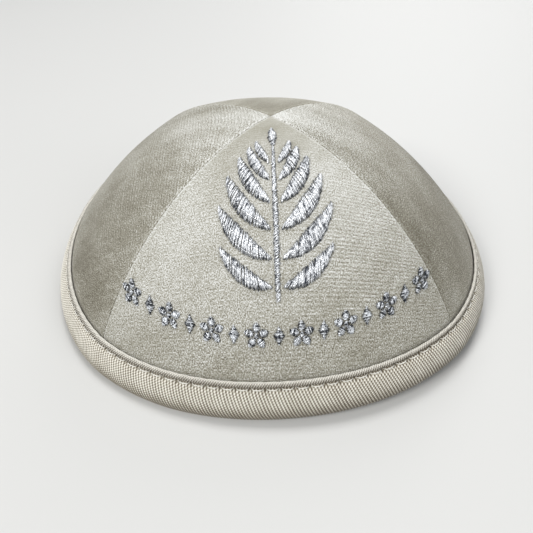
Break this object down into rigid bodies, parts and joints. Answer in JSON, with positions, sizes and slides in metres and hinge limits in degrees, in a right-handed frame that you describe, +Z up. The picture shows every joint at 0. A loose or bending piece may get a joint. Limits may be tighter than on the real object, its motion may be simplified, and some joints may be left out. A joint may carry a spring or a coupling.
{
  "type": "kippah",
  "caption": "Domed skullcap of velvet gores with a piped, ribbed rim band and raised silver satin-stitch embroidery on the front gore.",
  "frame": {"origin": "on the ground under the apex, at the middle of the box round the part", "axes": "+Z up through the apex, -Y towards the embroidered front panel, +X to the viewer's right"},
  "size_m": [0.1592, 0.1592, 0.0582],
  "materials": {
    "velvet": "short brushed pile, pale warm grey, matt with a soft sheen",
    "ribbed_ribbon": "cross-ribbed ribbon, warm beige, soft silk lustre",
    "bias_roll": "fine diagonal twill, beige",
    "silver_thread": "metallic silver embroidery thread in satin stitch"
  },
  "bodies": {
    "root": {"border_diamond_1": "silver_thread", "border_diamond_2": "silver_thread", "border_diamond_3": "silver_thread", "border_diamond_4": "silver_thread", "border_diamond_5": "silver_thread", "border_diamond_6": "silver_thread", "border_diamond_7": "silver_thread", "border_flower_1": "silver_thread", "border_flower_2": "silver_thread", "border_flower_3": "silver_thread", "border_flower_4": "silver_thread", "border_flower_5": "silver_thread", "border_flower_6": "silver_thread", "border_flower_7": "silver_thread", "border_flower_8": "silver_thread", "crown_panel_back": "velvet", "crown_panel_front": "velvet", "crown_panel_left": "velvet", "crown_panel_right": "velvet", "rim_band": "ribbed_ribbon", "rim_piping": "bias_roll", "sprig_leaf_left_1": "silver_thread", "sprig_leaf_left_2": "silver_thread", "sprig_leaf_left_3": "silver_thread", "sprig_leaf_left_4": "silver_thread", "sprig_leaf_left_5": "silver_thread", "sprig_leaf_left_6": "silver_thread", "sprig_leaf_right_1": "silver_thread", "sprig_leaf_right_2": "silver_thread", "sprig_leaf_right_3": "silver_thread", "sprig_leaf_right_4": "silver_thread", "sprig_leaf_right_5": "silver_thread", "sprig_leaf_right_6": "silver_thread", "sprig_leaf_top": "silver_thread", "sprig_stem": "silver_thread"}
  },
  "joints": []
}
